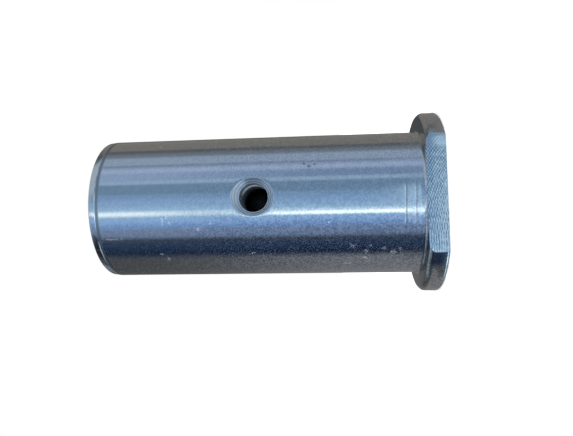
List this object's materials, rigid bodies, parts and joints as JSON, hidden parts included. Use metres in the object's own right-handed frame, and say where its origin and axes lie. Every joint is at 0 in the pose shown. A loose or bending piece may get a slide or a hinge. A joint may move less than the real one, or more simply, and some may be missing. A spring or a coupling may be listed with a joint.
{
  "type": "sprocket pin",
  "caption": "Stout plain steel pin with a thin round head, one flat on the head's rim against turning, and a countersunk cross hole halfway along the shank.",
  "frame": {"origin": "centre of the head's outer face, on the shank's axis", "axes": "+Z along the shank from the head to the free end, -Y out of the head's flat and of the cross hole's mouth"},
  "size_m": [0.063, 0.0568, 0.1173],
  "materials": {
    "plated_steel": "bright bluish zinc plate over turned steel, nearly polished near the free end and faintly ringed towards the head"
  },
  "bodies": {
    "root": {"sprocket_pin": "plated_steel"}
  },
  "joints": []
}
